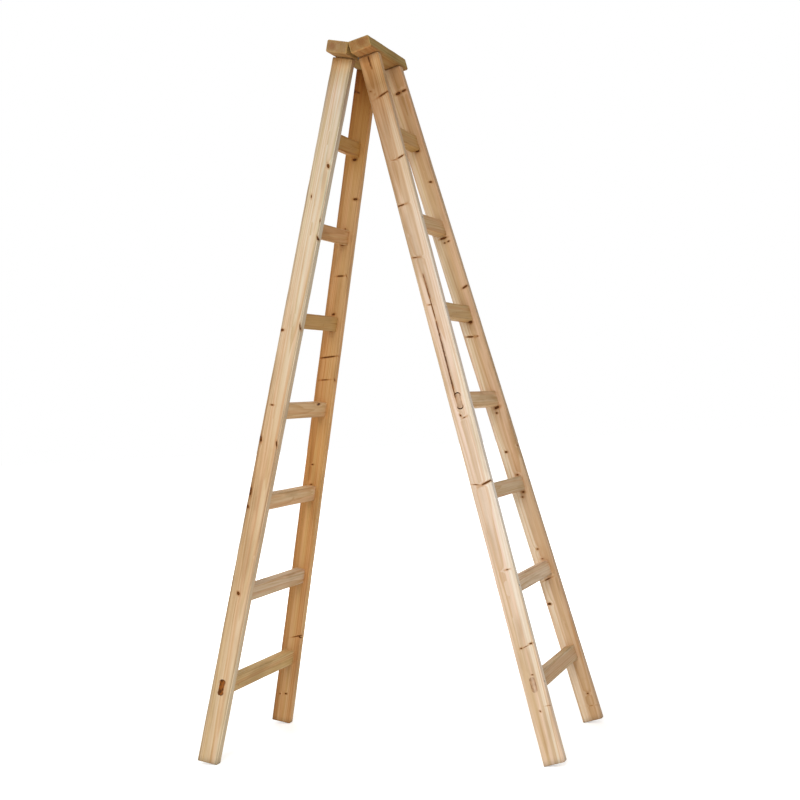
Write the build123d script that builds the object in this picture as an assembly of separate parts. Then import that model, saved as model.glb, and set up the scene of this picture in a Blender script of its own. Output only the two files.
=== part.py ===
from build123d import *
import os
from math import atan, cos, radians, sin, tan

# Wooden A-frame ladder: two tapered halves, hinged together between their cap rails.
# Millimetres. X runs across the spread of the halves, Y along the rungs, Z up.
# The origin is on the floor, midway between the four feet.

# Stance
half_angle = 13.1  # lean of each half from upright, standing open, degrees
leg_length = 2352.0  # cap top to foot, along the half

# Stiles
stile_width = 67.0  # across the half
stile_thick = 34.0  # along the rungs
stile_round = 2.0  # eased long edges
foot_width = 713.0  # over the stiles at the feet
head_width = 285.0  # over the stiles under the cap

# Rungs
rung_count = 7
first_rung = 308.0  # cap top to the middle of the top rung
last_rung = 244.0  # middle of the lowest rung to the foot
rung_height = 50.0
rung_depth = 32.0
rung_round = 3.0  # eased long edges
tenon_thick = 18.0
tenon_shoulder = 1.0  # step above and below a rung's tenon
wood_fit = 0.1  # clearance on each face of a wooden joint
slot_gap = 1.5  # slack at the ends of a rung mortise

# Cap rails
cap_length = 430.0
cap_height = 40.0
cap_reveal = 2.0  # cap beyond the stile on each face
cap_round = 5.0  # eased edges
head_tenon_thick = 16.0
head_tenon_width = 45.0
head_tenon_cover = 14.0  # wood left above a stile's head tenon
stop_gap = 0.3  # between the caps where they meet, standing open

# Hinges
hinge_drop = 14.0  # hinge axis below the cap's top
hinge_length = 64.0
hinge_inset = 12.0  # hinge end to the stile's inner face
leaf_thick = 2.0
leaf_gap = 0.6  # between two folded leaves
leaf_margin = 6.0  # leaf's lower edge to the cap's underside
knuckle_count = 5
knuckle_radius = 4.5
knuckle_gap = 0.3
pin_radius = 2.5
pin_fit = 0.05
pin_stand = 1.5  # pin beyond the knuckles at each end
groove_gap = 0.6  # cap groove around the knuckles

# Fasteners
metal_fit = 0.05  # clearance on a screw or nail in its hole
leaf_screws = 3  # in each leaf
leaf_screw_pitch = 20.0
leaf_screw_radius = 2.0
leaf_screw_head = 4.0
leaf_screw_length = 25.0
cap_screw_radius = 3.0
cap_screw_head = 6.0
cap_screw_length = 80.0
recess_depth = 1.2  # cross recess in a screw's head
recess_width = 1.0
nail_radius = 1.6
nail_head = 3.5
nail_head_thick = 1.2
nail_length = 50.0

# One half is drawn upright, as it stands when folded. Its hinge axis is the Y axis,
# the half hangs below it, and X points away from the other half.
lean = radians(half_angle)
face_x = leaf_gap / 2 + leaf_thick
stile_x0 = face_x + cap_reveal
stile_x1 = stile_x0 + stile_width
middle_x = (stile_x0 + stile_x1) / 2
cap_width = stile_width + 2 * cap_reveal
cap_under = hinge_drop - cap_height
foot_z = hinge_drop - leg_length
head_tenon_top = hinge_drop - head_tenon_cover
tenon_height = rung_height - 2 * tenon_shoulder
rung_pitch = (leg_length - first_rung - last_rung) / (rung_count - 1)
rung_heights = [hinge_drop - first_rung - i * rung_pitch for i in range(rung_count)]
splay = atan((foot_width - head_width) / 2 / (cap_under - foot_z))
board_y = stile_thick / cos(splay)
hinge_height = -foot_z * cos(lean) - stile_x0 * sin(lean)
leaf_depth = cap_height - hinge_drop - leaf_margin
leaf_screw_z = -(knuckle_radius + leaf_depth) / 2
hinge_y = head_width / 2 - board_y - hinge_inset - hinge_length / 2
knuckle_length = hinge_length / knuckle_count


def outer_y(z):
    """Y of a stile's outer face at a height."""
    return head_width / 2 + (cap_under - z) * tan(splay)


def inner_y(z):
    """Y of a stile's inner face at a height."""
    return outer_y(z) - board_y


def middle_y(z):
    """Y of a stile's middle line at a height."""
    return outer_y(z) - board_y / 2


def slab(outline, x0, x1):
    """Solid across the half from x0 to x1, with its outline drawn in Y and Z."""
    face = Plane.YZ.offset(x0) * Polygon(*outline)
    return extrude(face, amount=x1 - x0, dir=(1, 0, 0))


def between(edge_y):
    """Everything between two splayed faces, front and back, over the whole half."""
    top, low = hinge_drop, foot_z
    outline = [(-edge_y(top), top), (edge_y(top), top), (edge_y(low), low), (-edge_y(low), low)]
    return slab(outline, 0, stile_x1 + cap_width)


def rod(radius, length, y):
    """Round bar along the hinge axis, centred at y."""
    return Pos(Y=y) * Rot(X=90) * Cylinder(radius, length)


def turned(profile):
    """Solid turned about Z from a profile of radii and heights."""
    return revolve(Plane.XZ * Polygon(*profile), Axis.Z)


def screw(radius, head, length, fit=0.0):
    """Countersunk screw pointing down from its flat head or, with a fit, the hole for it."""
    profile = [
        (0, 0),
        (head + fit, 0),
        (radius + fit, radius - head),
        (radius + fit, head - length),
        (0, -length - fit),
    ]
    solid = turned(profile)
    if not fit:
        arm = Box(head, recess_width, 2 * recess_depth)
        solid -= arm + Rot(Z=90) * arm
    return solid


def nail(fit=0.0):
    """Flat-headed nail pointing down or, with a fit, the hole for it."""
    return turned([
        (0, 0),
        (nail_head + fit, 0),
        (nail_head + fit, -nail_head_thick - fit),
        (nail_radius + fit, -nail_head_thick - fit),
        (nail_radius + fit, nail_head - nail_length),
        (0, -nail_length - fit),
    ])


def rung_nail(z, fit=0.0):
    """Nail from the back stile's outer edge through a rung's tenon."""
    return Pos(stile_x1, middle_y(z), z) * Rot(Y=90) * nail(fit)


def cap_screw(fit=0.0):
    """Screw down through the cap into the back stile's head."""
    solid = screw(cap_screw_radius, cap_screw_head, cap_screw_length, fit)
    return Pos(middle_x, middle_y(cap_under), hinge_drop) * solid


def hinge_screws(y, fit=0.0):
    """Screws from one leaf into its cap, for the hinge centred at y."""
    solid = screw(leaf_screw_radius, leaf_screw_head, leaf_screw_length, fit)
    start = y - (leaf_screws - 1) / 2 * leaf_screw_pitch
    places = [start + i * leaf_screw_pitch for i in range(leaf_screws)]
    return [Pos(leaf_gap / 2, p, leaf_screw_z) * Rot(Y=-90) * solid for p in places]


def rung_tenon(z, fit=0.0, slack=0.0):
    """Round-ended bar along Y: a rung's tenon or, with its clearances, the mortise."""
    radius = tenon_thick / 2 + fit
    rise = tenon_height / 2 + fit + slack - radius
    shape = Rectangle(2 * radius, 2 * rise) + Pos(Y=rise) * Circle(radius)
    shape += Pos(Y=-rise) * Circle(radius)
    return extrude(Plane.XZ * Pos(middle_x, z) * shape, amount=foot_width, both=True)


def head_tenon(fit=0.0, root=0.0):
    """Tenon at the back stile's head or, with a fit, the mortise. The root sinks it in the stile."""
    half = (head_tenon_thick / 2 + fit) / cos(splay)
    low, top = cap_under - root, head_tenon_top + fit
    outline = [
        (middle_y(low) - half, low),
        (middle_y(low) + half, low),
        (middle_y(top) + half, top),
        (middle_y(top) - half, top),
    ]
    reach = head_tenon_width / 2 + fit
    return slab(outline, middle_x - reach, middle_x + reach)


def stile():
    """Back stile: a splayed board with rung mortises and a head tenon."""
    top, low = cap_under, foot_z
    outline = [
        (inner_y(top), top),
        (inner_y(low), low),
        (outer_y(low), low),
        (outer_y(top), top),
    ]
    board = slab(outline, stile_x0, stile_x1)
    long_edges = board.edges().filter_by(lambda edge: edge.length > leg_length / 2)
    board = fillet(long_edges, stile_round) + head_tenon(root=stile_round)
    for z in rung_heights:
        board -= rung_tenon(z, wood_fit, slot_gap)
        board -= rung_nail(z, metal_fit)
    return board - cap_screw(metal_fit)


def rung(z):
    """Rung with a tenon at each end, its shoulders cut to the splayed stiles."""
    bar = Pos(middle_x, 0, z) * Box(rung_depth, foot_width, rung_height)
    bar = fillet(bar.edges().filter_by(Axis.Y), rung_round)
    solid = (bar & between(inner_y)) + (rung_tenon(z) & between(outer_y))
    hole = rung_nail(z, metal_fit)
    return solid - hole - mirror(hole, about=Plane.XZ)


def cap():
    """Cap rail with its stop bevel, hinge grooves, mortises and screw holes."""
    middle = Pos(face_x + cap_width / 2, 0, hinge_drop - cap_height / 2)
    rail = middle * Box(cap_width, cap_length, cap_height)
    stop_edge = rail.edges().filter_by(Axis.Y).group_by(Axis.X)[0].sort_by(Axis.Z)[-1]
    rail = fillet(rail.edges().filter_by(lambda edge: edge != stop_edge), cap_round)
    beyond = Pos(X=stop_gap / 2 - cap_width / 2) * Box(cap_width, 2 * cap_length, 4 * cap_height)
    rail -= Rot(Y=half_angle) * beyond
    groove = hinge_length + 2 * (pin_stand + groove_gap)
    for side in (-1, 1):
        rail -= rod(knuckle_radius + groove_gap, groove, side * hinge_y)
        rail -= hinge_screws(side * hinge_y, metal_fit)
    for cut in (head_tenon(wood_fit), cap_screw(metal_fit)):
        rail -= [cut, mirror(cut, about=Plane.XZ)]
    return rail


def leaf(y, first):
    """Hinge leaf with every second knuckle from the first, centred at y."""
    plate = Pos(leaf_gap / 2 + leaf_thick / 2, y, -leaf_depth / 2)
    solid = plate * Box(leaf_thick, hinge_length, leaf_depth)
    solid += rod(knuckle_radius, hinge_length, y)
    solid -= rod(pin_radius + pin_fit, 2 * hinge_length, y)
    for k in range(1 - first, knuckle_count, 2):
        place = y + (k - (knuckle_count - 1) / 2) * knuckle_length
        solid -= rod(knuckle_radius + knuckle_gap, knuckle_length + knuckle_gap, place)
    return solid - hinge_screws(y, metal_fit)


def pin(y):
    """Hinge pin with chamfered ends."""
    solid = rod(pin_radius, hinge_length + 2 * pin_stand, y)
    return chamfer(solid.edges().filter_by(GeomType.CIRCLE), pin_stand / 2)


def front(shapes):
    """The same shapes at the front of the half."""
    return [mirror(shape, about=Plane.XZ) for shape in shapes]


def right(shape):
    """An upright half's shape, leant to its place in the right half."""
    return Pos(Z=hinge_height) * Rot(Y=-half_angle) * shape


def left(shape):
    """An upright half's shape, leant to its place in the left half."""
    return mirror(right(shape), about=Plane.YZ)


def save(name, shapes):
    """Write one node, a single solid or a group of them."""
    node = Compound([solid for shape in shapes for solid in shape.solids()])
    node.label = name
    export_step(node, f"parts/{name}.step")


os.makedirs("parts", exist_ok=True)

back_stile = stile()
rail = cap()
nails = [rung_nail(z) for z in rung_heights]
leaf_set = hinge_screws(hinge_y) + hinge_screws(-hinge_y)

for side, place in (("left", left), ("right", right)):
    save(f"{side}_back_stile", [place(back_stile)])
    save(f"{side}_front_stile", [place(shape) for shape in front([back_stile])])
    for number, z in enumerate(rung_heights, start=1):
        save(f"{side}_rung_{number}", [place(rung(z))])
    save(f"{side}_cap", [place(rail)])
    save(f"{side}_rung_nails", [place(shape) for shape in nails + front(nails)])
    save(f"{side}_cap_screws", [place(shape) for shape in [cap_screw()] + front([cap_screw()])])
    save(f"{side}_hinge_screws", [place(shape) for shape in leaf_set])

for end, y in (("front", -hinge_y), ("back", hinge_y)):
    save(f"{end}_hinge_left_leaf", [left(leaf(y, 0))])
    save(f"{end}_hinge_right_leaf", [right(leaf(y, 1))])
    save(f"{end}_hinge_pin", [Pos(Z=hinge_height) * pin(y)])
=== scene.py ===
import math

import bmesh
import bpy
import numpy as np
from mathutils import Matrix, Vector


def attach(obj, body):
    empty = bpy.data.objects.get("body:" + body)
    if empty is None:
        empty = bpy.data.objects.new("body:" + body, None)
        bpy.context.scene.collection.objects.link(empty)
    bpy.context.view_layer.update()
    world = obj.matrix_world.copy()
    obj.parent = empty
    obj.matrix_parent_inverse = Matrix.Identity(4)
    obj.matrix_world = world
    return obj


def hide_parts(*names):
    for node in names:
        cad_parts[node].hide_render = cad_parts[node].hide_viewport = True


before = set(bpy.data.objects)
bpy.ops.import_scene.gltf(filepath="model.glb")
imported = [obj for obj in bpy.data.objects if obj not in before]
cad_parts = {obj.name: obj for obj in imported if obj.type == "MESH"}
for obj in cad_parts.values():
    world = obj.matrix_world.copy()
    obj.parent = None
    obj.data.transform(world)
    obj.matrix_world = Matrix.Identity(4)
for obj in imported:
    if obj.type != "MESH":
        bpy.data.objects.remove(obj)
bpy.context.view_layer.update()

# Sizes of the ladder, in millimetres, as in the solids.
MM = 0.001
LEAN = math.radians(13.1)
LEG_LENGTH = 2352.0
STILE_WIDTH = 67.0
STILE_THICK = 34.0
STILE_ROUND = 2.0
FOOT_WIDTH = 713.0
HEAD_WIDTH = 285.0
RUNG_COUNT = 7
FIRST_RUNG = 308.0
LAST_RUNG = 244.0
RUNG_HEIGHT = 50.0
RUNG_DEPTH = 32.0
TENON_THICK = 18.0
TENON_SHOULDER = 1.0
CAP_LENGTH = 430.0
CAP_HEIGHT = 40.0
CAP_REVEAL = 2.0
CAP_ROUND = 5.0
STOP_GAP = 0.3
HINGE_DROP = 14.0
HINGE_LENGTH = 64.0
HINGE_INSET = 12.0
LEAF_THICK = 2.0
LEAF_GAP = 0.6
GROOVE_RADIUS = 5.1
GROOVE_LENGTH = 68.2
CAP_SCREW_HEAD = 6.05

# Sizes that follow from these; x and z are counted from the hinge axis, on a half stood upright.
FACE_X = LEAF_GAP / 2 + LEAF_THICK
MIDDLE_X = FACE_X + CAP_REVEAL + STILE_WIDTH / 2
CAP_WIDTH = STILE_WIDTH + 2 * CAP_REVEAL
CAP_UNDER = HINGE_DROP - CAP_HEIGHT
FOOT_Z = HINGE_DROP - LEG_LENGTH
BOARD_LENGTH = CAP_UNDER - FOOT_Z
SPREAD = (FOOT_WIDTH - HEAD_WIDTH) / 2 / BOARD_LENGTH
BOARD_Y = STILE_THICK * math.hypot(1, SPREAD)
HINGE_HEIGHT = -FOOT_Z * math.cos(LEAN) - (FACE_X + CAP_REVEAL) * math.sin(LEAN)
HINGE_Y = HEAD_WIDTH / 2 - BOARD_Y - HINGE_INSET - HINGE_LENGTH / 2
RUNG_PITCH = (LEG_LENGTH - FIRST_RUNG - LAST_RUNG) / (RUNG_COUNT - 1)
RUNG_Z = HINGE_DROP - FIRST_RUNG - RUNG_PITCH * np.arange(RUNG_COUNT)
TENON_HEIGHT = RUNG_HEIGHT - 2 * TENON_SHOULDER
SCREW_Y = HEAD_WIDTH / 2 - BOARD_Y / 2

# Words for the two sides, and for a stile's end of the rungs.
HALVES = {-1: "left", 1: "right"}
ENDS = {-1: "front", 1: "back"}

# The photograph's view: 800 pixels square, the lens in pixels, and the camera's place and turn.
IMAGE = 800
LENS_PX = 1680.0
CAMERA_MM = np.array([1607.8, -5344.6, 1112.7])
YAW, PITCH, ROLL = np.radians([16.32, 0.24, -3.27])


def view_axes():
    """Right, up and forward of the camera: yaw about Z, then pitch, then roll about the line of sight."""
    forward = np.array([-math.sin(YAW) * math.cos(PITCH), math.cos(YAW) * math.cos(PITCH), math.sin(PITCH)])
    level = np.array([math.cos(YAW), math.sin(YAW), 0.0])
    over = np.cross(level, forward)
    right = level * math.cos(ROLL) + over * math.sin(ROLL)
    up = over * math.cos(ROLL) - level * math.sin(ROLL)
    return right, up, forward


def outer_y(z):
    """Half width over the stiles at a height of the upright half: it grows evenly down to the feet."""
    return HEAD_WIDTH / 2 + (CAP_UNDER - z) * SPREAD


def inner_y(z):
    """Half width between the stiles at a height: the outer one less a board's thickness."""
    return outer_y(z) - BOARD_Y


def stand(upright, side):
    """Upright half to its place: turned by the lean about the hinge axis, lifted, mirrored for side -1."""
    x, y, z = np.moveaxis(upright, -1, 0)
    across = x * math.cos(LEAN) - z * math.sin(LEAN)
    height = HINGE_HEIGHT + x * math.sin(LEAN) + z * math.cos(LEAN)
    return np.stack([side * across, y, height], -1) * MM


def fold_back(points, side, lift):
    """The reverse of stand, in millimetres: lift is the hinge height for places and 0 for directions."""
    x, y, z = np.moveaxis(points, -1, 0)
    x, z = side * x, z - lift
    across = x * math.cos(LEAN) + z * math.sin(LEAN)
    height = z * math.cos(LEAN) - x * math.sin(LEAN)
    return np.stack([across, y, height], -1)


def on_stile(pixels, side, end):
    """Where photograph pixels meet a stile's seen face, as distance down the board and across it.

    The ray from the camera through each pixel is met with the plane of the front stile's outer face,
    or of the back stile's inner face, where the half width changes evenly with height."""
    right, up, forward = view_axes()
    px = np.asarray(pixels, float)
    rays = (forward + (px[:, :1] - IMAGE / 2) / LENS_PX * right + (IMAGE / 2 - px[:, 1:]) / LENS_PX * up)
    start = fold_back(CAMERA_MM, side, HINGE_HEIGHT)
    rays = fold_back(rays, side, 0.0)
    half = outer_y if end < 0 else inner_y
    gap = start[1] - end * half(start[2])
    closing = rays[:, 1] + end * SPREAD * rays[:, 2]
    met = start - rays * (gap / closing)[:, None]
    return np.stack([CAP_UNDER - met[:, 2], met[:, 0] - MIDDLE_X], -1)


def drift(places, step, seed):
    """Smooth uneven line: seeded values every step, joined by cosine blends, between -1 and 1."""
    values = np.random.default_rng(seed).uniform(-1, 1, int(np.max(places) / step) + 3)
    at = np.clip(places, 0, None) / step
    low = at.astype(int)
    blend = (1 - np.cos(np.pi * (at - low))) / 2
    return values[low] * (1 - blend) + values[low + 1] * blend


# Numbers added to a board's own seed, so that each unevenness is drawn apart from the others.
WEAR_SEEDS = 1, 2
OUTWARDS_SEED = 3
SIDEWAYS_SEED = 4
SAP_SEED = 5
KNOT_SEED = 6
EDGE_SHADE_SEED = 7

# How much of a corner's mark a board's narrow face gets: painted shade greying the narrow faces,
# and on the stiles the place where painted light makes them paler.
NARROW_MARK = 0.3


def half_section(face_steps, turn_steps, edge_steps):
    """Columns round one half of a board's section, from the middle of one broad face to the other.

    Each column holds: its share of the way from the middle to the corner, and how the corner's
    radius and the half thickness make its place. The last row marks the eased corners, and the
    narrow face between them by less: this share of the corners' grey paints shade on the narrow
    faces, and on the stiles it also marks where painted light makes corners and narrow faces paler."""
    share = np.linspace(0, 1, face_steps + 1)
    turn = np.linspace(np.pi / 2, 0, turn_steps + 1)[1:-1]
    level = np.linspace(1, -1, edge_steps + 1)
    one = np.ones_like
    return np.hstack([
        [share, 0 * share, one(share), one(share), 0 * share],
        [one(turn), np.cos(turn), one(turn), np.sin(turn), one(turn)],
        [one(level), one(level), level, 0 * level, NARROW_MARK * one(level)],
        [one(turn), np.cos(turn)[::-1], -one(turn), -np.sin(turn)[::-1], one(turn)],
        [share[::-1], 0 * share, -one(share), -one(share), 0 * share]])


def quads(rows, columns, first=0, closed=False):
    """Corner numbers of the faces of a grid of points, row by row, joined round where it is closed."""
    index = first + np.arange(rows * columns).reshape(rows, columns)
    across = np.roll(index, -1, 1) if closed else index[:, 1:]
    here = index if closed else index[:, :-1]
    return np.stack([here[:-1], across[:-1], across[1:], here[1:]], -1).reshape(-1, 4)


def board(along, middle, slot, inset, half_width, half_thick, radius, radius_back, steps):
    """A sawn board as a section carried along its length, with slots through its middle line.

    At every row the section is a rounded rectangle in two halves. Each half starts at the slot's
    edge on one broad face, goes round the board's edge and ends at the slot's edge on the other.
    A slot is a pair of half widths, on the outer broad face and on the inner one.
    The middle line may wander across the board between slots, where a split follows it.
    Where the slot has width, a wall joins its two edges. The ends are filled across.
    Returns across and through places, the marks of its corners, and the faces."""
    share, bend, level, reach, arris = half_section(*steps)
    rows, columns = len(along), len(share)
    wide = (half_width - inset)[:, None]
    thick = (half_thick - inset)[:, None]
    faces, across, through = [], [], []
    column = np.arange(columns // 2 - 1)
    facing = columns - 1 - column
    open_rows = np.flatnonzero((slot[0][:-1] > 0) | (slot[0][1:] > 0))
    from_middle = np.where(level > 0, slot[0][:, None], slot[1][:, None])
    for number, turn in enumerate((radius, radius_back)):
        way = (1, -1)[number]
        slot_edge = from_middle + way * middle[:, None]
        across.append(way * (slot_edge * (1 - share) + share * (wide - turn) + bend * turn))
        through.append(level * (thick - turn) + reach * turn)
        first = number * rows * columns
        faces.append(quads(rows, columns, first))
        row = first + open_rows * columns
        faces.append(np.stack([row, row + columns - 1, row + 2 * columns - 1, row + columns], -1))
        for end_row in (0, rows - 1):
            at = first + end_row * columns
            faces.append(at + np.stack([column, column + 1, facing - 1, facing], -1))
    return np.array(across), np.array(through), np.broadcast_to(arris, (2, rows, columns)), np.vstack(faces)


# Rows round a slot's ends, along its sides and over a knot, their finest step, and their decimals.
SLOT_END_ROWS = 8
SLOT_SIDE_ROWS = 6
KNOT_ROWS = 17
FINE_STEP = 1.5
ROW_DECIMALS = 4


def slot_rows(length, step, centres, rise, radius, extra=()):
    """Row places along a board: every step, at extra places, and close together round each slot's ends."""
    plain = np.arange(0, length + step / 2, step) * length / (round(length / step) * step)
    plain = np.concatenate([plain, np.clip(extra, step, length - step)])
    near = (np.abs(plain[:, None] - centres) < rise + radius + step / 2).any(1)
    round_end = rise[:, None] + radius * np.sin(np.linspace(0, np.pi / 2, SLOT_END_ROWS))
    straight = rise[:, None] * np.linspace(-1, 1, SLOT_SIDE_ROWS)
    rows = centres[:, None] + np.hstack([-round_end, straight, round_end])
    return np.unique(np.round(np.concatenate([plain[~near], rows.ravel()]), ROW_DECIMALS))


def slot_width(along, centres, rise, radius):
    """Half width of round-ended slots at places along a board: a circle's chord past the straight part."""
    past = np.maximum(np.abs(along[:, None] - centres) - rise, 0)
    return np.sqrt(np.maximum(radius ** 2 - past ** 2, 0)).max(1)


def knot_rows(knots):
    """Rows set close together over each knot and its halo, on a lattice of fine steps."""
    middle = (knots[:, 0] + knots[:, 2]) / 2
    half = np.abs(knots[:, 2] - knots[:, 0]) / 2 + KNOT_HALO_REACH * knots[:, 4]
    rows = middle[:, None] + half[:, None] * np.linspace(-1, 1, KNOT_ROWS)
    return np.unique(np.round(rows / FINE_STEP) * FINE_STEP)


# Knots: how they slant and end below the face, stretch, fade, swell the grain and reach round them.
KNOT_SLANT = 0.2
KNOT_DEPTH = 24.0
KNOT_STRETCH = 1.15
KNOT_LONG_FROM = 1.0
KNOT_FADE = 1.1
KNOT_FAR = 6.0
KNOT_SWELL = 0.9
KNOT_SWELL_REACH = 2.2
KNOT_HALO_REACH = 2.6


def knot_fields(down, across, depth, knots):
    """Distance to the nearest knot, in knot radii, and how far the grain swells round the knots.

    A knot is an ellipse between two ends on one broad face. It slants and shrinks away with depth
    below that face, and a faint one is drawn in by a steady step."""
    nearest = np.full(down.shape, KNOT_FAR)
    swell = np.zeros(down.shape)
    for start_down, start_across, end_down, end_across, radius, strength, face in knots:
        length = math.hypot(end_down - start_down, end_across - start_across)
        unit = (1, 0)
        if length > KNOT_LONG_FROM:
            unit = (end_down - start_down) / length, (end_across - start_across) / length
        below = np.abs(np.abs(depth) - face * STILE_THICK)
        step_down = down - (start_down + end_down) / 2 - KNOT_SLANT * below
        step_across = across - (start_across + end_across) / 2
        run = (step_down * unit[0] + step_across * unit[1]) / (length / 2 + radius * KNOT_STRETCH)
        side = (step_across * unit[0] - step_down * unit[1]) / radius
        distance = np.hypot(run, side) + (below / KNOT_DEPTH) ** 2
        nearest = np.minimum(nearest, distance + KNOT_FADE * (1 - strength))
        swell += KNOT_SWELL * radius * np.exp(-(distance / KNOT_SWELL_REACH) ** 2)
    return nearest, swell


# Seeded knots: how many to a stile, where they may lie, their length, half width and strength.
HIDDEN_KNOTS = 9
HIDDEN_FROM_ENDS = 150.0
HIDDEN_ACROSS = 26.0
HIDDEN_SLANT = 5.0
HIDDEN_RADIUS = 2.2, 4.5
HIDDEN_STRENGTH = 0.5, 1.0


def hidden_knots(count, seed):
    """Seeded knots for a stile's far face: their two ends, half widths and strengths."""
    rng = np.random.default_rng(seed)
    low = HIDDEN_FROM_ENDS, -HIDDEN_ACROSS, HIDDEN_RADIUS[0], HIDDEN_STRENGTH[0]
    high = BOARD_LENGTH - HIDDEN_FROM_ENDS, HIDDEN_ACROSS, HIDDEN_RADIUS[1], HIDDEN_STRENGTH[1]
    down, across, radius, strength = rng.uniform(low, high, (count, 4)).T
    step_down, step_across = rng.uniform(-HIDDEN_SLANT, HIDDEN_SLANT, (2, count))
    far_face = np.ones(count)
    return np.stack([down, across, down + step_down, across + step_across, radius, strength, far_face], -1)


def linear(colour):
    """sRGB hex to linear red, green, blue and alpha."""
    part = [int(colour[i:i + 2], 16) / 255 for i in (1, 3, 5)]
    return [c / 12.92 if c <= 0.04045 else ((c + 0.055) / 1.055) ** 2.4 for c in part] + [1.0]


def tint_along(places, tints):
    """A board's own colour at places along it, joined evenly between the tints that are given there."""
    known = [place for place, colour in tints]
    parts = np.array([linear(colour)[:3] for place, colour in tints]).T
    return np.stack([np.interp(places, known, part) for part in parts], -1)


# The tree's heart: how far beside a board it may lie, how it wanders, and how far apart boards are cut.
HEART_ACROSS = 30.0
HEART_BESIDE = 16.0, 48.0
HEART_WANDER = 9.0
HEART_WANDER_LENGTH = 620.0
HEART_WANDER_START = 6.0
HEART_LEAN = 0.012
BOARDS_APART = 3000.0


def timber(down, across, through, depth, knots, seed, heart=None):
    """Fields that the pine materials read, for every point of a board.

    The timber field is the place along the grain and from the tree's heart, whose line wanders
    slowly in or beside the board, so growth rings are circles about that line on every face."""
    rng = np.random.default_rng(seed)
    beside = rng.uniform(-HEART_ACROSS, HEART_ACROSS), rng.choice([-1, 1]) * rng.uniform(*HEART_BESIDE)
    heart = heart or beside
    wander = HEART_WANDER * np.sin(down / HEART_WANDER_LENGTH + rng.uniform(0, HEART_WANDER_START))
    nearest, swell = knot_fields(down, across, depth, knots)
    sideways = across - heart[0] - wander
    outwards = through - heart[1] - HEART_LEAN * down
    grain = np.stack([down + BOARDS_APART * seed, sideways, outwards], -1)
    return {"timber": grain, "knot": nearest, "swell": swell}


def placed(knots, side, end):
    """Knots seen in the photograph, and dark marks of painted shade drawn as knots, as places down and
    across their stile, on its seen face.
    """
    ends = [on_stile(knots[:, k:k + 2], side, end) for k in (0, 2)]
    return np.hstack([*ends, knots[:, 4:], np.zeros((len(knots), 1))])


def stile_knots(look, side, end):
    """All knots of a stile, with any marks of painted shade drawn as knots: those seen in the photograph
    and seeded ones for its other face.
    """
    hidden = hidden_knots(HIDDEN_KNOTS, look["seed"] + KNOT_SEED)
    return np.vstack([placed(look["knots"], side, end), hidden])


# Sapwood's edge: how far it wanders, over what length, and how wide it blurs, in millimetres.
SAP_WANDER = 5.0
SAP_STEP = 400.0
SAP_BLUR = 14.0


def stile_timber(look, side, end, down, across, through):
    """Timber fields of a stile: its colour changes along it, and sapwood lies to one side of a line."""
    face = -end * STILE_THICK / 2
    fields = timber(down, across, through, face - through, stile_knots(look, side, end), look["seed"])
    place, way, heart = look["sap"]
    line = way * (across - place - SAP_WANDER * drift(down, SAP_STEP, look["seed"] + SAP_SEED))
    sap = np.clip(0.5 + line / SAP_BLUR, 1 - heart, 1)
    # The tints along a stile hold painted shade and light as well as the wood's colour.
    fields.update(sap=sap, tint=tint_along(down, look["tints"]))
    return fields


# Warp of the stiles: how far, and over what length, in millimetres.
WARP_SIDEWAYS = 0.3
WARP_SIDEWAYS_STEP = 300.0
WARP_OUTWARDS = 0.35
WARP_OUTWARDS_STEP = 260.0


def stile_warp(look, down):
    """How far a stile has warped in drying, sideways and outwards, at places down it."""
    sideways = WARP_SIDEWAYS * drift(down, WARP_SIDEWAYS_STEP, look["seed"] + SIDEWAYS_SEED)
    outwards = WARP_OUTWARDS * drift(down, WARP_OUTWARDS_STEP, look["seed"] + OUTWARDS_SEED)
    return sideways, outwards


# Points nearer than this, in metres, become one, and corners over this angle stay sharp.
MERGE = 0.00001
SHARP_ANGLE = math.radians(35)


def piece(name, points, faces, fields, body, material):
    """Put a computed surface into a mesh that rides on a body and stands for the CAD node of its name.

    Points that meet are merged, faces are turned outwards, and sharp corners stay sharp."""
    mesh = bpy.data.meshes.new(name)
    mesh.from_pydata(points.reshape(-1, 3), [], faces)
    for field, values in fields.items():
        vector = field in ("timber", "tint")
        layer = mesh.attributes.new(field, "FLOAT_VECTOR" if vector else "FLOAT", "POINT")
        layer.data.foreach_set("vector" if vector else "value", np.ravel(values).astype(np.float32))
    work = bmesh.new()
    work.from_mesh(mesh)
    bmesh.ops.remove_doubles(work, verts=work.verts, dist=MERGE)
    bmesh.ops.recalc_face_normals(work, faces=work.faces)
    work.to_mesh(mesh)
    work.free()
    mesh.shade_smooth()
    mesh.set_sharp_from_angle(angle=SHARP_ANGLE)
    made = bpy.data.objects.new(name + "_wood", mesh)
    bpy.context.scene.collection.objects.link(made)
    mesh.materials.append(material)
    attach(made, body)
    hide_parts(name)


# A stile's rows, columns and eased foot, its worn corners, and its neck under the cap, in millimetres.
STILE_STEP = 7.0
STILE_COLUMNS = 14, 5, 9
STILE_EASE = np.array([0.0, 0.6, 1.8])
STILE_WEAR = 0.9
STILE_WEAR_STEP = 45.0
NECK_DOWN = np.array([0.0, 3.6, 3.8, 5.4])
NECK_INSET = np.array([8.0, 8.0, 1.0, 0.0])

# A stile's marks: stain at a gap and beside it, painted light on the corners and narrow faces,
# painted shade on the broad faces by the corners, and a darker foot.
STAIN_SPREAD = 0.85, 0.35
EDGE_PAINTED_LIGHT = np.array([0.3, 0.36, 0.45])
EDGE_SHADE_FROM = 25.0
EDGE_SHADE_STEP = 110.0
EDGE_SHADE_UNEVEN = 0.35
FOOT_DARKENING = 0.4
FOOT_DARKENING_HEIGHT = 26.0


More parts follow.
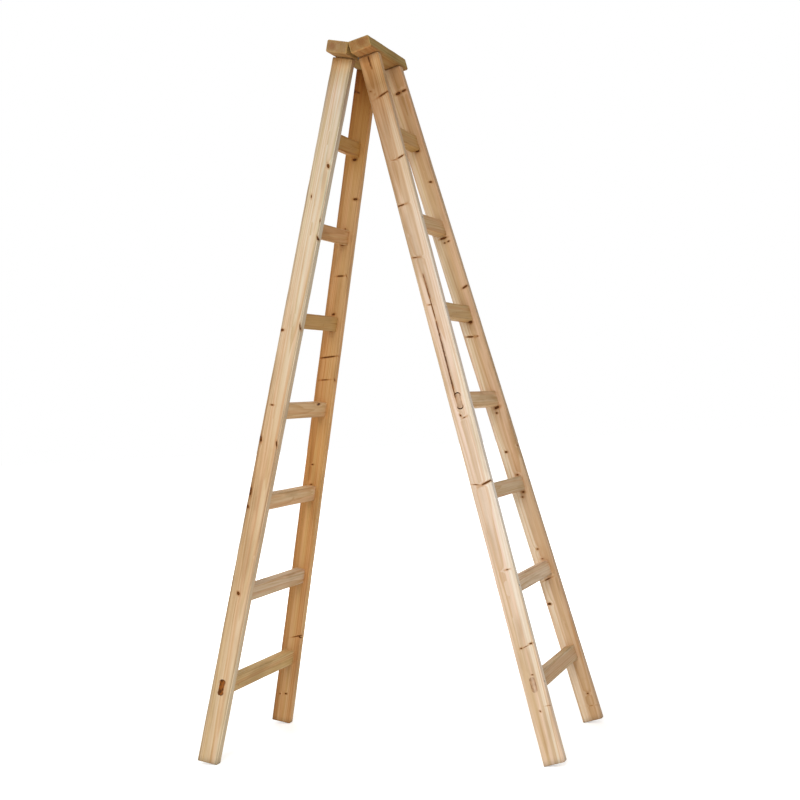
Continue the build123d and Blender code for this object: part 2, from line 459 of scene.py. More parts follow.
def make_stile(side, end, look, split, material):
    """A splayed stile: the board section carried down the half, at even heights, with its rung mortises.

    Mortises are cut close to their tenons, but the loose ones flare to the outer face, where they show
    a gap above and below. Brown stain spreads from a split and from those gaps.
    A look holds the stile's seed; neck, 1 where the head narrows under the cap; pale, how much painted
    light makes its corners and narrow faces paler; the share of painted shade that darkens its broad
    faces by the corners; sap, the place and side of the sapwood and the heartwood's strength; loose,
    the gap at a rung's tenon; its knots, with painted shade drawn as knots where rungs meet the back
    stiles; and tints, the spring wood's colour at places down it, with painted shade and light in it."""
    seed = look["seed"]
    centres = CAP_UNDER - RUNG_Z
    radius = TENON_THICK / 2
    tight = TENON_HEIGHT / 2 - radius
    rise = tight + np.array([look["loose"].get(number, 0.0) for number in range(1, RUNG_COUNT + 1)])
    close_rows = knot_rows(stile_knots(look, side, end))
    along = slot_rows(BOARD_LENGTH, STILE_STEP, centres, rise, radius, close_rows)
    along = np.unique(np.concatenate([along, NECK_DOWN, BOARD_LENGTH - STILE_EASE]))
    inset = np.interp(along, NECK_DOWN, NECK_INSET) * look["neck"]
    inset = np.maximum(inset, np.interp(BOARD_LENGTH - along, STILE_EASE, STILE_EASE[::-1]))
    slot = np.stack([slot_width(along, centres, height, radius) for height in (rise, tight)])
    middle, crack = split(along) if split else (0 * along, 0 * along)
    stained = 1.0 * ((slot[0] > slot[1]) | (slot[0] < crack))
    slot = np.maximum(slot, crack)
    wear = [STILE_ROUND + STILE_WEAR * drift(along, STILE_WEAR_STEP, seed + k)[:, None] for k in WEAR_SEEDS]
    across, through, arris, faces = board(
        along, middle, slot, inset, STILE_WIDTH / 2, STILE_THICK / 2, *wear, STILE_COLUMNS)
    down = along[:, None] + 0 * across
    sideways, outwards = stile_warp(look, down)
    z = CAP_UNDER - down
    y = end * (outer_y(z) - BOARD_Y / 2 + (through + outwards) * BOARD_Y / STILE_THICK)
    upright = np.stack([MIDDLE_X + across + sideways, y, z], -1)
    fields = stile_timber(look, side, end, down, across, through)
    # Painted light: the corners and narrow faces are made paler, as if more light fell on them.
    fields["tint"] = fields["tint"] * (1 + look["pale"] * EDGE_PAINTED_LIGHT * (arris[..., None] > 0))
    # Painted shade: the broad faces darken towards their corners, unevenly along the board.
    shaded_corners = np.clip((np.abs(across) - EDGE_SHADE_FROM) / (STILE_WIDTH / 2 - EDGE_SHADE_FROM), 0, 1) * (arris == 0)
    shaded_corners = shaded_corners * look["edge_shade"] * (1 + EDGE_SHADE_UNEVEN * drift(down, EDGE_SHADE_STEP, seed + EDGE_SHADE_SEED))
    # Every face darkens towards the foot, over its last few centimetres.
    darker_foot = FOOT_DARKENING * np.clip(1 - (BOARD_LENGTH - down) / FOOT_DARKENING_HEIGHT, 0, 1) ** 2
    fields["tint"] = fields["tint"] * (1 - shaded_corners[..., None]) * (1 - darker_foot[..., None])
    ends = 1.0 * (BOARD_LENGTH - down < STILE_EASE[-1])
    stain = 0 * across
    stain[:, :, [0, -1]] = STAIN_SPREAD[0] * stained[:, None]
    stain[:, :, [1, -2]] = STAIN_SPREAD[1] * stained[:, None]
    fields.update(arris=arris, ends=ends, stain=stain)
    half = HALVES[side]
    name = f"{half}_{ENDS[end]}_stile"
    piece(name, stand(upright, side), faces, fields, f"{half}_half", material)


def rounded_contour(turn_steps, side_steps):
    """Columns round a rounded rectangle: shares of the straight half sizes and of the corner radius."""
    columns = []
    step = np.linspace(1, -1, side_steps + 1)[1:-1]
    for quarter in range(4):
        angle = np.linspace(0, np.pi / 2, turn_steps + 1) + quarter * np.pi / 2
        one = np.ones_like(angle)
        corner = np.array([[1, 1], [-1, 1], [-1, -1], [1, -1]][quarter])
        columns.append([corner[0] * one, corner[1] * one, np.cos(angle), np.sin(angle), one])
        flat = (0, -1, 0, 1)[quarter], (1, 0, -1, 0)[quarter]
        run = step if quarter in (0, 1) else -step
        over_x = run if quarter % 2 == 0 else 0 * step + corner[0]
        over_z = run if quarter % 2 == 1 else 0 * step + corner[1]
        columns.append([over_x, over_z, flat[0] + 0 * step, flat[1] + 0 * step, 0 * step])
    return np.hstack(columns)


# A rung's rows and columns, and its corners: least radius, more at the middle, and unevenness.
RUNG_STEP = 5.0
RUNG_COLUMNS = 5, 12
END_RINGS = 13
RUNG_WEAR = 1.6, 0.8, 0.3
RUNG_WEAR_REACH = 0.4
RUNG_WEAR_STEP = 0.25

# A rung's grain is counted from before its near end; its one knot is seeded, or given where it shows.
RUNG_MIDDLE = 1000.0
RUNG_KNOT = 0.4
RUNG_KNOT_HIGH = 18.0
RUNG_KNOT_SHARE = 0.9
RUNG_KNOT_SLANT = 2.0
RUNG_KNOT_RADIUS = 1.8, 3.5
RUNG_KNOTS = {(-1, 4): (RUNG_MIDDLE + 118, 20.0, RUNG_MIDDLE + 138, 21.0, 4.0, 1.0, 0)}

# What warmth adds to red, green and blue, and how much end grain a tenon's flush end shows.
WARMER = np.array([0.15, 0.0, -0.5])
TENON_END_MARK = 0.05


def make_rung(side, number, seed, material):
    """A rung as one rounded contour carried from tenon end to tenon end.

    The shoulders and the tenons' ends lie on the stiles' splayed faces, so every point's place along
    the rung is a share of the half width at its own height. The corners are worn in the middle.
    The tenons' ends are planed flush and have greyed with the stiles, so they take the stiles' timber."""
    z = RUNG_Z[number - 1]
    over_x, over_z, turn_x, turn_z, arris = rounded_contour(*RUNG_COLUMNS)
    body_steps = int(inner_y(z) / RUNG_STEP)
    run = np.linspace(-1, 1, 2 * body_steps + 1)
    tenon = np.array([[TENON_THICK / 2, TENON_HEIGHT / 2, TENON_THICK / 2]])
    core = np.array([[0.0, TENON_HEIGHT / 2 - TENON_THICK / 2, 0.0]])
    rings = core + (tenon - core) * np.linspace(0, 1, END_RINGS)[:, None]
    worn = RUNG_WEAR[0] + RUNG_WEAR[1] * np.exp(-(run / RUNG_WEAR_REACH) ** 2)
    worn = worn + RUNG_WEAR[2] * drift(run + 1, RUNG_WEAR_STEP, seed + WEAR_SEEDS[0])
    body = np.stack([RUNG_DEPTH / 2 + 0 * run, RUNG_HEIGHT / 2 + 0 * run, worn], -1)
    sizes = np.vstack([rings, tenon, body, tenon, rings[::-1]])
    tail = len(rings)
    share = np.concatenate([-np.ones(tail + 1), run, np.ones(tail + 1)])
    past = np.concatenate([-np.ones(tail), 0 * run, [0, 0], np.ones(tail)])
    half_x, half_z, radius = (sizes[:, k:k + 1] for k in range(3))
    x = over_x * (half_x - radius) + turn_x * radius
    rise = over_z * (half_z - radius) + turn_z * radius
    y = share[:, None] * inner_y(z + rise) + past[:, None] * BOARD_Y
    rows, columns = x.shape
    ends = np.zeros((rows, columns))
    ends[:tail] = ends[-tail:] = 1
    rng = np.random.default_rng(seed)
    reach = np.array([inner_y(z), RUNG_KNOT_HIGH])
    place, high = rng.uniform(-reach, reach) * RUNG_KNOT_SHARE
    end_high = high + rng.uniform(-RUNG_KNOT_SLANT, RUNG_KNOT_SLANT)
    half_width = rng.uniform(*RUNG_KNOT_RADIUS)
    knot = (RUNG_MIDDLE + place, high, RUNG_MIDDLE + 1 + place, end_high, half_width, RUNG_KNOT, 0)
    knot = RUNG_KNOTS.get((side, number), knot)
    fields = timber(y + RUNG_MIDDLE, rise, x, 0 * x, [knot], seed)
    light, warmth = RUNG_LIGHT[side][number - 1], RUNG_WARMTH[side][number - 1]
    shade = light * (1 + warmth * WARMER)
    # The tints between the first and last rung paint shade: the higher the rung, the darker.
    fields.update(tint=tint_along(number + 0 * x, RUNG_TINTS[side]) * shade, sap=1 + 0 * ends)
    for end in (-1, 1):
        down = CAP_UNDER - z - rise
        here = (ends > 0) & (share[:, None] * end > 0)
        sideways, outwards = stile_warp(STILES[side, end], down)
        flush = stile_timber(STILES[side, end], side, end, down, x, STILE_THICK / 2 + 0 * x)
        for field, values in flush.items():
            fields[field] = np.where(here[..., None] if values.ndim > 2 else here, values, fields[field])
        x = x + here * sideways
        y = y + here * end * outwards * BOARD_Y / STILE_THICK
    upright = np.stack([MIDDLE_X + x, y, z + rise], -1)
    inside, edge = RUNG_STAINS.get((side, number), (0.0, 0.0))
    stain = (inside + (edge - inside) * 2 * np.abs(x) / TENON_THICK) * ends * (y < 0)
    fields.update(arris=arris * (1 - ends), ends=TENON_END_MARK * ends, stain=stain)
    faces = quads(rows, columns, closed=True)
    half = HALVES[side]
    name = f"{half}_rung_{number}"
    piece(name, stand(upright, side), faces, fields, f"{half}_half", material)


# A cap's rows and columns, its worn corners, its crisp stop edge, and the hinge hollows' steep lips.
CAP_STEP = 6.0
CAP_COLUMNS = 14, 6, 21
CAP_END_ROWS = 7
CAP_WEAR = 0.2
CAP_WEAR_STEP = 40.0
CAP_LEAST = 0.01
STOP_ROUND = 0.3
LIP_WIDTH = 0.05
LIP_SLACK = 0.02

# A cap's knots: two ends along and across it, half width, strength, and 0 for its top face.
CAP_KNOTS = {
    -1: [(92.0, 18.0, 93.0, 20.0, 6.0, 1.0, 0), (251.0, -16.0, 252.0, -12.0, 5.0, 1.0, 0)],
    1: [(148.0, -9.0, 149.0, -11.0, 4.5, 1.0, 0), (322.0, 21.0, 326.0, 22.0, 5.5, 0.8, 0)]}


def make_cap(side, seed, material):
    """A cap rail: the board section carried along the rungs' direction, with its screw holes.

    Its inner face is planed back to the stop plane at the top and hollowed round the hinge knuckles."""
    middle = CAP_LENGTH / 2
    centres = np.array([middle - SCREW_Y, middle + SCREW_Y])
    along = slot_rows(CAP_LENGTH, CAP_STEP, centres, np.zeros(2), CAP_SCREW_HEAD)
    turn = np.linspace(0, np.pi / 2, CAP_END_ROWS)
    ease = CAP_ROUND * (1 - np.sin(turn))
    groove = np.array([-1, 1]) * HINGE_Y + middle
    lips = (groove[:, None] + np.array([-1, 1]) * GROOVE_LENGTH / 2).ravel()
    along = along[(along > CAP_ROUND) & (along < CAP_LENGTH - CAP_ROUND)]
    along = np.unique(np.concatenate([ease, along, lips, lips + LIP_WIDTH, CAP_LENGTH - ease]))
    from_end = np.minimum(along, CAP_LENGTH - along)
    inset = CAP_ROUND - np.sqrt(np.maximum(CAP_ROUND ** 2 - np.maximum(CAP_ROUND - from_end, 0) ** 2, 0))
    slot = np.stack([slot_width(along, centres, 0.0, CAP_SCREW_HEAD)] * 2)
    level = half_section(*CAP_COLUMNS)[2]
    worn = CAP_ROUND * (1 + CAP_WEAR * drift(along, CAP_WEAR_STEP, seed + WEAR_SEEDS[0]))[:, None]
    worn = worn * np.ones_like(level)
    stop = np.where(level > 0, STOP_ROUND, CAP_ROUND) + 0 * worn
    across, through, arris, faces = board(
        along, 0 * along, slot, np.minimum(inset, CAP_ROUND - CAP_LEAST), CAP_WIDTH / 2, CAP_HEIGHT / 2,
        worn, stop, CAP_COLUMNS)
    down = along[:, None] + 0 * across
    x = FACE_X + CAP_WIDTH / 2 + across
    z = HINGE_DROP - CAP_HEIGHT / 2 + through
    x = np.maximum(x, (STOP_GAP / 2 + z * math.sin(LEAN)) / math.cos(LEAN))
    in_groove = np.abs(down[..., None] - groove).min(-1) < GROOVE_LENGTH / 2 + LIP_SLACK
    x = np.maximum(x, np.sqrt(np.maximum(GROOVE_RADIUS ** 2 - z ** 2, 0)) * in_groove)
    upright = np.stack([x, down - middle, z], -1)
    depth = CAP_HEIGHT / 2 - through
    fields = timber(down, across, through, depth, CAP_KNOTS[side], seed, CAP_HEARTS[side])
    ends = (np.minimum(inset, CAP_ROUND) / CAP_ROUND)[:, None] + 0 * across
    # The underside takes its own tints, which paint its shade.
    below = ((through < CAP_ROUND - CAP_HEIGHT / 2) * (1 - ends))[..., None]
    tint = tint_along(down, [(0, CAP_TINTS[side])]) * (1 - below)
    tint = tint + tint_along(down, CAP_UNDERSIDE_SHADES[side]) * below
    tint = tint * (1 - ends[..., None] * (1 - np.array(linear(CAP_ENDS[side])[:3])))
    fields.update(arris=arris, ends=ends, stain=0 * ends, sap=1 + 0 * ends, tint=tint)
    half = HALVES[side]
    piece(f"{half}_cap", stand(upright, side), faces, fields, f"{half}_half", material)


def node(tree, kind, inputs=None, out=0, **settings):
    """Add a node and return one of its outputs.

    Settings are its own options, and each input is a value or the socket that feeds it."""
    made = tree.nodes.new("ShaderNode" + kind)
    for key, value in settings.items():
        setattr(made, key, value)
    for key, value in (inputs or {}).items():
        if isinstance(value, bpy.types.NodeSocket):
            tree.links.new(value, made.inputs[key])
        else:
            made.inputs[key].default_value = value
    return made.outputs[out] if made.outputs else made


def new_material(name):
    """An empty material and its tree."""
    made = bpy.data.materials.new(name)
    made.use_nodes = True
    made.node_tree.nodes.clear()
    return made, made.node_tree


# Pine's figure: how long, wide and deep each kind of streak is, in millimetres, and its detail.
STREAKS = (
    ("uneven", (420, 22, 22), 2),
    ("fibre", (150, 2.6, 2.6), 3),
    ("heart", (1700, 17, 17), 2),
    ("sap", (1300, 13, 40), 2),
    ("patch", (240, 45, 45), 3),
    ("ragged", (16, 9, 9), 2))
RING_DRIFT = 9.0
KNOT_RAGGED = 0.55
SUMMER_RELIEF = 0.7
SUMMER_WOOD = "#E2CDAA"
HEART_WOOD = "#E6D6C4"
PINK_BAND = "#FAECE4"
YELLOW_BAND = "#FBF8EE"
HANDLED_WOOD = "#E0DACE"
PITH = "#C98F70"
KNOT_HALO = "#DCBC98"
KNOT_WOOD = "#66380A"
KNOT_RIM = "#341C06"
STAINED_WOOD = "#84480C"


def pine(name, end_colour, ring_mm, roughness):
    """Softwood, sawn and planed, left unfinished: pale spring wood and darker summer wood in rings,
    pink heart and yellow sap bands along the board, brown knots with a dark rim, and fine fibres.

    Rings are drawn about the tree's heart from the timber field. Ring width is a few millimetres.
    Real fibres are too fine to show, so the fibre streaks are drawn as coarse as they need to be.
    The tint field is the spring wood's colour, and the other colours are laid over it."""
    made, tree = new_material(name)
    field = {}
    for key in ("swell", "knot", "sap", "arris", "ends", "stain"):
        field[key] = node(tree, "Attribute", out="Fac", attribute_name=key)
    grain = node(tree, "Attribute", out="Vector", attribute_name="timber")
    colour = node(tree, "Attribute", out="Vector", attribute_name="tint")
    streak = {}
    for key, size, detail in STREAKS:
        sized = node(tree, "VectorMath", {0: grain, 1: [1 / mm for mm in size]}, operation="MULTIPLY")
        streak[key] = node(tree, "TexNoise", {"Vector": sized, "Scale": 1.0, "Detail": detail})

    # Rings: the distance from the heart, made uneven, counts the years, and its fraction is the season.
    radius = node(tree, "VectorMath", {0: grain, 1: (0, 1, 1)}, operation="MULTIPLY")
    radius = from_heart = node(tree, "VectorMath", {0: radius}, out="Value", operation="LENGTH")
    radius = node(tree, "Math", {0: radius, 1: field["swell"]}, operation="ADD")
    radius = node(tree, "Math", {0: streak["uneven"], 1: RING_DRIFT, 2: radius}, operation="MULTIPLY_ADD")
    years = node(tree, "Math", {0: radius, 1: ring_mm}, operation="DIVIDE")
    season = node(tree, "Math", {0: years}, operation="FRACT")
    year = node(tree, "Math", {0: years}, operation="FLOOR")
    year = node(tree, "TexWhiteNoise", {"W": year}, out="Value", noise_dimensions="1D")
    knot = node(tree, "Math", {0: streak["ragged"], 1: KNOT_RAGGED, 2: field["knot"]},
                operation="MULTIPLY_ADD")

    # Ramps: what is read, from where to where, and what it becomes.
    ramp = {}
    for key, value, low, high, to_low, to_high in (
            ("late", season, 0.2, 0.9, 0.0, 1.0),
            ("turn", season, 0.92, 1.0, 1.0, 0.0),
            ("year", year, 0.0, 1.0, 0.15, 0.65),
            ("shift", streak["heart"], 0.3, 0.7, -0.4, 0.4),
            ("pink", streak["heart"], 0.45, 0.62, 0.0, 1.0),
            ("yellow", streak["sap"], 0.48, 0.64, 0.0, 1.0),
            ("fibre", streak["fibre"], 0.5, 0.75, 0.0, 0.45),
            ("patch", streak["patch"], 0.48, 0.75, 0.0, 0.8),
            ("handled", streak["patch"], 0.35, 0.7, 0.1, 0.8),
            ("stained", streak["fibre"], 0.3, 0.6, 0.9, 1.0),
            ("halo", knot, 1.2, 2.7, 0.85, 0.0),
            ("knot", knot, 1.1, 1.5, 1.0, 0.0),
            ("rim", knot, 0.65, 1.0, 0.0, 0.65),
            ("rim_end", knot, 1.2, 1.4, 1.0, 0.0),
            ("hollow", knot, 0.9, 1.6, -0.8, 0.0),
            ("pith", from_heart, 2.0, 19.0, 0.55, 0.0),
            ("blotch", streak["ragged"], 0.43, 0.59, 0.0, 0.75),
            ("gloss", streak["fibre"], 0.3, 0.7, roughness - 0.06, roughness + 0.08)):
        ramp[key] = node(tree, "MapRange", {0: value, 1: low, 2: high, 3: to_low, 4: to_high},
                         interpolation_type="SMOOTHSTEP")
    sapwood = node(tree, "Math", {0: field["sap"], 1: ramp["shift"]}, operation="ADD")
    heart = node(tree, "MapRange", {0: sapwood, 1: 0.2, 2: 0.8, 3: 1.0, 4: 0.0},
                 interpolation_type="SMOOTHSTEP")

    # Shares: two readings multiplied, so that a mark shows only where both are strong.
    share = {}
    for key, first, second in (
            ("ring", ramp["late"], ramp["turn"]),
            ("rim", ramp["rim"], ramp["rim_end"]),
            ("handled", field["arris"], ramp["handled"]),
            ("stain", field["stain"], ramp["stained"]),
            ("pith", field["ends"], ramp["pith"]),
            ("blotch", field["stain"], ramp["blotch"])):
        share[key] = node(tree, "Math", {0: first, 1: second}, operation="MULTIPLY")
    summer = node(tree, "Math", {0: share["ring"], 1: ramp["year"]}, operation="MULTIPLY")

    # Layers of colour over the spring wood, from the figure to the marks of use.
    for amount, over, how in (
            (heart, HEART_WOOD, "MULTIPLY"),
            (ramp["pink"], PINK_BAND, "MULTIPLY"),
            (ramp["yellow"], YELLOW_BAND, "MULTIPLY"),
            (summer, SUMMER_WOOD, "MULTIPLY"),
            (ramp["fibre"], SUMMER_WOOD, "MULTIPLY"),
            (ramp["patch"], HANDLED_WOOD, "MULTIPLY"),
            (ramp["halo"], KNOT_HALO, "MULTIPLY"),
            (ramp["knot"], KNOT_WOOD, "MIX"),
            (share["rim"], KNOT_RIM, "MIX"),
            (share["handled"], HANDLED_WOOD, "MULTIPLY"),
            (field["ends"], end_colour, "MULTIPLY"),
            (share["pith"], PITH, "MULTIPLY"),
            (share["stain"], STAINED_WOOD, "MIX"),
            (share["blotch"], KNOT_RIM, "MIX")):
        colour = node(tree, "Mix", {0: amount, 6: colour, 7: linear(over)}, out=2,
                      data_type="RGBA", blend_type=how)

    # Relief: summer wood and fibres stand up a little, and knots are sunk.
    height = node(tree, "Math", {0: summer, 1: SUMMER_RELIEF, 2: streak["fibre"]}, operation="MULTIPLY_ADD")
    height = node(tree, "Math", {0: height, 1: ramp["hollow"]}, operation="ADD")
    bump = node(tree, "Bump", {"Strength": 0.35, "Distance": 0.0004, "Height": height})
    shader = node(tree, "BsdfPrincipled", {
        "Base Color": colour, "Roughness": ramp["gloss"], "Normal": bump, "Specular IOR Level": 0.1})
    node(tree, "OutputMaterial", {"Surface": shader})
    return made


# Steel's clouds: from where to where they dull its colour and its shine, and by how much.
STEEL_COLOUR_CLOUD = 0.4, 0.7
STEEL_SHINE_CLOUD = 0.3, 0.7
STEEL_SCUFFED = 0.2


def plated_steel(name, colour, dull, grain_mm, roughness):
    """Steel, pressed and zinc plated: soft grey shine with duller clouded patches and fine scuffs."""
    made, tree = new_material(name)
    place = node(tree, "TexCoord", out="Object")
    cloud = node(tree, "TexNoise", {"Vector": place, "Scale": 1 / (grain_mm * MM), "Detail": 4.0})
    share = node(tree, "MapRange", {0: cloud, 1: STEEL_COLOUR_CLOUD[0], 2: STEEL_COLOUR_CLOUD[1]})
    mixed = node(tree, "Mix", {0: share, 6: linear(colour), 7: linear(dull)}, out=2, data_type="RGBA")
    rough = node(tree, "MapRange", {
        0: cloud, 1: STEEL_SHINE_CLOUD[0], 2: STEEL_SHINE_CLOUD[1],
        3: roughness, 4: roughness + STEEL_SCUFFED})
    shader = node(tree, "BsdfPrincipled", {"Base Color": mixed, "Roughness": rough, "Metallic": 1.0})
    node(tree, "OutputMaterial", {"Surface": shader})
    return made


# Bare pine is matt: the weathered caps more than the sawn stiles and the planed rungs.
stile_pine = pine("sawn_pine_stiles", end_colour="#E0CCB0", ring_mm=5.0, roughness=0.58)
rung_pine = pine("planed_pine_rungs", end_colour="#E0CCB0", ring_mm=4.5, roughness=0.6)
cap_pine = pine("planed_pine_caps", end_colour="#DCD9FF", ring_mm=5.0, roughness=0.88)

# Plated hinges keep a soft grey shine; nails and screws have gone duller, with brown patches.
hinge_steel = plated_steel("zinc_plated_steel", "#9C9B96", dull="#7E7B74", grain_mm=4.0, roughness=0.38)
nail_steel = plated_steel("bright_steel_gone_dull", "#8A8781", dull="#5E4E40", grain_mm=2.5, roughness=0.45)

# Knots on the stiles' seen faces: two ends in photograph pixels, half width in millimetres, and strength.
# On the back stiles some of these are painted shade drawn as knots: the dark where a rung's end
# meets the stile, under it on the right and above and below it on the left.
RIGHT_FRONT_KNOTS = np.array([
    (379, 97, 388, 91, 3.2, 0.8), (397.5, 158.6, 403.5, 154.8, 2.8, 0.85),
    (391.5, 160.6, 397, 159.2, 2.0, 0.45), (398, 206.5, 405, 204, 3.0, 0.7),
    (411, 258, 420, 257, 3.0, 0.4), (427.5, 305, 431.5, 304.6, 2.4, 0.5),
    (460, 415, 461, 416, 3.5, 0.65), (471.5, 484.5, 480, 485, 1.8, 0.65),
    (482, 485, 491, 480, 3.2, 0.9), (505, 570.2, 509.5, 569, 2.8, 0.45),
    (521, 648.5, 521.6, 648.4, 2.6, 0.7), (530, 643.8, 531.6, 643.2, 2.8, 0.85),
    (523, 648, 529, 645, 1.2, 0.75), (540, 711, 540.5, 711.5, 2.8, 0.65),
    (546, 706, 552, 704.8, 1.3, 0.6), (532.2, 674.8, 532.8, 674.8, 2.0, 0.9),
    (429.2, 296, 436.4, 322, 1.5, 1.0), (452.6, 386.5, 455.3, 397.2, 1.5, 1.0),
    (370, 91.5, 371, 91.5, 3.0, 0.4), (462.5, 418.5, 466, 416.5, 2.6, 0.55)])
RIGHT_BACK_KNOTS_AND_SHADE = np.array([
    (397, 94, 399, 93, 4.2, 1.0), (403, 91, 405, 90, 4.0, 0.9),
    (417, 151, 418, 151, 4.5, 0.9), (430, 182, 431, 182, 3.5, 0.9),
    (448, 241.5, 449, 241, 2.8, 0.85), (444.5, 243, 445, 243, 2.6, 0.8),
    (463.6, 287.8, 466.2, 286, 3.4, 1.0), (441.5, 239, 445.5, 237.6, 3.2, 1.0),
    (470, 322, 471, 322, 4.5, 1.0), (467.5, 337, 473, 336.7, 3.0, 0.9),
    (477.5, 336, 478, 336, 3.5, 0.5), (496, 408, 498, 407, 4.5, 0.9),
    (496.5, 413, 497, 413, 3.5, 0.7), (506, 452, 506.5, 452, 3.4, 1.0),
    (518, 445, 518.5, 445, 3.5, 0.8), (517, 474.8, 518, 474.8, 3.5, 0.7),
    (523, 492, 524, 492, 4.5, 0.6), (522, 497, 523, 497, 3.5, 0.6),
    (537, 549, 538, 549, 4.0, 0.5), (542, 558.8, 543, 558.8, 3.0, 0.5),
    (544, 581, 552, 577, 2.4, 0.65), (549, 604, 550, 604, 4.0, 0.9),
    (587.5, 693.5, 588, 693.5, 4.0, 0.6), (588, 706, 597, 704.8, 1.5, 0.3)])
LEFT_FRONT_KNOTS = np.array([
    (328, 165.4, 328.2, 166.6, 4.2, 1.0), (311.5, 195, 311.2, 198, 2.4, 0.75),
    (320.2, 219.5, 319.8, 222, 2.0, 0.7), (317.2, 236.8, 317.5, 239.2, 2.2, 1.0),
    (282, 330, 282.4, 330, 4.0, 1.0), (299.8, 325, 300, 329, 2.2, 1.0),
    (271.5, 404.8, 273, 405, 2.8, 0.8), (260.6, 437, 260.8, 440.5, 4.0, 1.0),
    (276.4, 442, 276.6, 446, 2.4, 1.0), (250.8, 488, 250.2, 494, 3.6, 1.0),
    (247.3, 506, 247.6, 506.6, 4.2, 1.0), (238.2, 593, 238.4, 593.6, 4.2, 1.0)])
LEFT_BACK_KNOTS_AND_SHADE = np.array([
    (354, 159.9, 355.4, 159.7, 3.8, 1.0), (354.6, 199.3, 356.2, 199.2, 4.0, 0.9),
    (345, 229, 345.5, 229, 3.0, 0.5), (341.5, 245, 343.5, 245, 2.6, 0.9),
    (337.5, 276.3, 343, 275.9, 2.8, 0.8), (346, 274.5, 347, 277.8, 1.8, 0.6),
    (333.2, 314.4, 334, 314.2, 3.2, 1.0), (330.8, 331, 331.6, 331, 2.8, 0.9),
    (321, 358, 337, 356, 2.6, 0.85), (320.5, 380.2, 329.5, 379.6, 2.4, 0.65),
    (334.2, 378, 334.5, 381, 1.8, 0.5), (312, 464.5, 313, 464.4, 3.0, 0.75),
    (310.8, 484.4, 311.4, 484.4, 3.0, 0.7), (293, 637, 303, 635, 2.0, 0.8),
    (299.5, 637, 300.5, 637.4, 2.6, 0.9), (302, 634.4, 303, 634, 2.4, 0.8),
    (285.6, 693.6, 286, 693.6, 3.2, 0.9), (280, 693.6, 280.4, 693.6, 2.4, 0.6),
    (354.3, 91.6, 355, 91.6, 3.6, 1.0), (358, 92.4, 358.8, 92.8, 2.8, 0.9)])

# The crack: its line in photograph pixels, its distances from a mortise, and its half width.
SPLIT_SEEN = np.array([(367, 53), (372, 70), (423.1, 274.5), (434.5, 315), (455, 396)])
SPLIT_CLEAR = 4.0, 13.0, 24.0
SPLIT_HALF = 0.75


def front_split(along):
    """The drying crack in the right front stile: its line across the board and its half width.

    It opens at the head, closes, and opens again above the third rung as far as the fourth mortise.
    The line joins points seen in the photograph. Near a mortise the crack has closed, and the line bends
    to the middle; the width swells between each opening's ends."""
    down, across = on_stile(SPLIT_SEEN, 1, -1).T
    centres = CAP_UNDER - RUNG_Z
    clear = np.abs(along[:, None] - centres).min(1) - TENON_HEIGHT / 2
    middle = np.interp(along, down, across) * np.interp(clear, SPLIT_CLEAR[:2], [0, 1])
    head, start = down[1:3]
    upper = np.clip((head - along) / head, 0, 1) * (along > NECK_DOWN[-1])
    lower = np.interp(along, [start, centres[2], centres[3], centres[3] + 1], [0, 1, 1, 0])
    lower *= np.interp(clear, SPLIT_CLEAR[1:], [0, 1])
    return middle, SPLIT_HALF * np.sqrt(np.maximum(upper, lower))


# Each stile's look, by side and end; make_stile says what its words mean.
# The tints hold the wood's colour and painted shade and light: darker towards the heads and under
# the caps, where less light falls, and paler where a stile lies in the shade of the others.
STILES = {
    (-1, -1): dict(
        seed=11, neck=1, pale=0.75, edge_shade=0.5, sap=(4.0, -1, 0.4), loose={7: 2.0}, knots=LEFT_FRONT_KNOTS,
        # The first two tints are darker: painted shade just under the cap.
        tints=(
            (8, "#B69161"), (20, "#BA9C74"), (60, "#B9A88C"), (120, "#C5B7A5"), (220, "#C6BBA7"),
            (550, "#CBC1AB"), (1320, "#C8AC89"), (2070, "#D0BC9D"))),
    (-1, 1): dict(
        seed=23, neck=0, pale=1.0, edge_shade=0.2, sap=(14.0, -1, 0.8), loose={}, knots=LEFT_BACK_KNOTS_AND_SHADE,
        # The first tints are darker: painted shade at the head, under the caps and behind the front stile.
        tints=(
            (40, "#89531A"), (120, "#A8773D"), (300, "#BF945B"), (400, "#C8A070"), (700, "#CCA677"),
            (1320, "#CD9F66"), (2070, "#C7A071"))),
    (1, -1): dict(
        seed=35, neck=1, pale=1.0, edge_shade=0.08, sap=(8.0, 1, 0.6), loose={4: 3.5}, knots=RIGHT_FRONT_KNOTS,
        # The first tint is paler: painted light against the shade that the cap casts on the head.
        tints=(
            (20, "#BB976B"), (105, "#9D7D55"), (180, "#B69775"), (260, "#BDA68B"), (415, "#C4AF95"),
            (570, "#CEBEAB"), (1320, "#DDD1C5"), (2070, "#DCCCB6"))),
    (1, 1): dict(
        seed=47, neck=1, pale=0.1, edge_shade=0.12, sap=(-8.0, -1, 0.8), loose={}, knots=RIGHT_BACK_KNOTS_AND_SHADE,
        # These tints are paler throughout: painted light against the shade of the front stile, darker at
        # the head.
        tints=((180, "#D8BC9A"), (500, "#E6D2B6"), (1320, "#E5D4BC"), (2070, "#E7D0B4")))}

# Each rung's timber: colours of the first and last rung of a half, darker at the top rung as painted
# shade where less light falls, and how light and warm each one is.
RUNG_TINTS = {-1: ((1, "#CA9B57"), (7, "#FADEBA")), 1: ((1, "#C6A16D"), (7, "#EACEAB"))}
RUNG_LIGHT = {-1: (0.89, 1.15, 0.78, 1.0, 0.95, 0.84, 0.68), 1: (0.94, 1.11, 0.95, 1.07, 0.96, 1.1, 0.81)}
RUNG_WARMTH = {-1: (0.1, -0.4, 0.5, 0.1, 0.1, -0.1, 0.6), 1: (0.25, -0.1, 0.25, 0.0, 0.0, -0.2, 0.15)}

